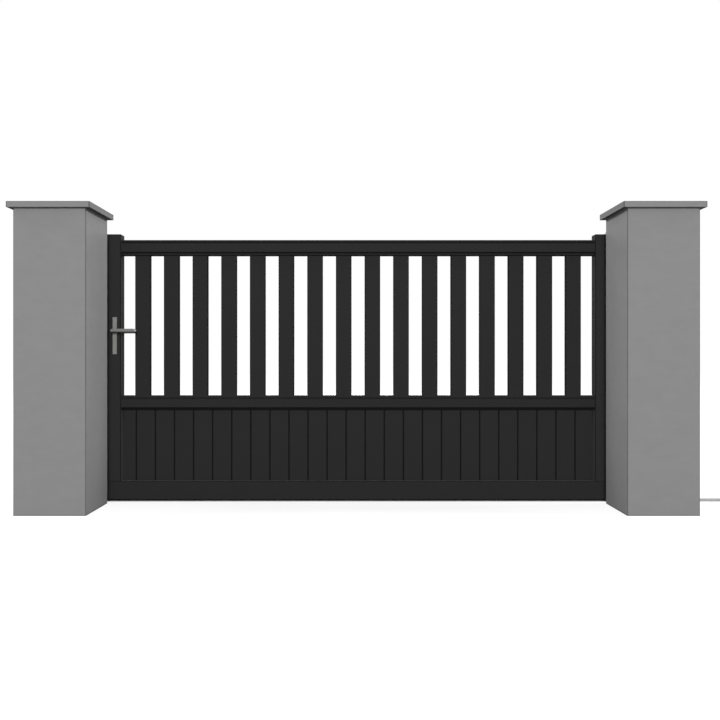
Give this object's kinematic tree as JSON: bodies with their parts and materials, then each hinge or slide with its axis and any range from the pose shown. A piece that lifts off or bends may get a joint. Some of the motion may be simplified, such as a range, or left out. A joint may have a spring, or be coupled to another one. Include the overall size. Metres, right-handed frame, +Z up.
{
  "type": "sliding driveway gate with pillars",
  "caption": "Sliding driveway gate: a dark aluminium leaf with open vertical slats over solid boards rolls on a ground track behind two square rendered pillars with flat caps.",
  "frame": {"origin": "on the ground at the centre of the left pillar's base", "axes": "+X along the gate towards the right pillar, the way the leaf opens; +Y away from the street; +Z up"},
  "size_m": [5.5355, 0.541, 1.508],
  "materials": {
    "render_grey": "matt fine render",
    "cap_concrete": "smooth cast concrete",
    "galvanised_steel": "galvanised",
    "black_rubber": "matt",
    "nylon": "turned nylon",
    "powder_coat_dark_grey": "fine-textured powder coat",
    "satin_metal": "satin anodised",
    "zinc_steel": "zinc plated"
  },
  "bodies": {
    "posts": {"left_pillar": "render_grey", "right_pillar": "render_grey", "left_pillar_cap": "cap_concrete", "right_pillar_cap": "cap_concrete", "ground_track": "galvanised_steel", "track_end_stop": "galvanised_steel", "receiver_channel": "galvanised_steel", "rubber_buffers": "black_rubber", "guide_bracket": "galvanised_steel", "guide_rollers": "nylon"},
    "leaf": {"bottom_rail": "powder_coat_dark_grey", "bottom_rail_caps": "powder_coat_dark_grey", "left_stile": "powder_coat_dark_grey", "right_stile": "powder_coat_dark_grey", "stile_caps": "powder_coat_dark_grey", "top_rail": "powder_coat_dark_grey", "mid_rail": "powder_coat_dark_grey", "lower_boards": "powder_coat_dark_grey", "wheels": "nylon", "wheel_carriages": "galvanised_steel", "lock_plate_front": "satin_metal", "lock_plate_back": "satin_metal", "lock_case": "zinc_steel", "slat_01": "powder_coat_dark_grey", "slat_02": "powder_coat_dark_grey", "slat_03": "powder_coat_dark_grey", "slat_04": "powder_coat_dark_grey", "slat_05": "powder_coat_dark_grey", "slat_06": "powder_coat_dark_grey", "slat_07": "powder_coat_dark_grey", "slat_08": "powder_coat_dark_grey", "slat_09": "powder_coat_dark_grey", "slat_10": "powder_coat_dark_grey", "slat_11": "powder_coat_dark_grey", "slat_12": "powder_coat_dark_grey", "slat_13": "powder_coat_dark_grey", "slat_14": "powder_coat_dark_grey", "slat_15": "powder_coat_dark_grey", "slat_16": "powder_coat_dark_grey"},
    "lever": {"lever_front": "satin_metal", "lever_back": "satin_metal", "lever_spindle": "zinc_steel"}
  },
  "joints": [
    {"name": "leaf_slide", "type": "slide", "parent": "posts", "child": "leaf", "axis": [1, 0, 0], "range_m": [0, 2.4]},
    {"name": "lever_turn", "type": "hinge", "parent": "leaf", "child": "lever", "pos_m": [0.202, 0.254, 0.9005], "axis": [0, 1, 0], "range_deg": [0, 42], "stiffness_Nm_per_rad": 1.5, "springref_deg": -28.65}
  ]
}
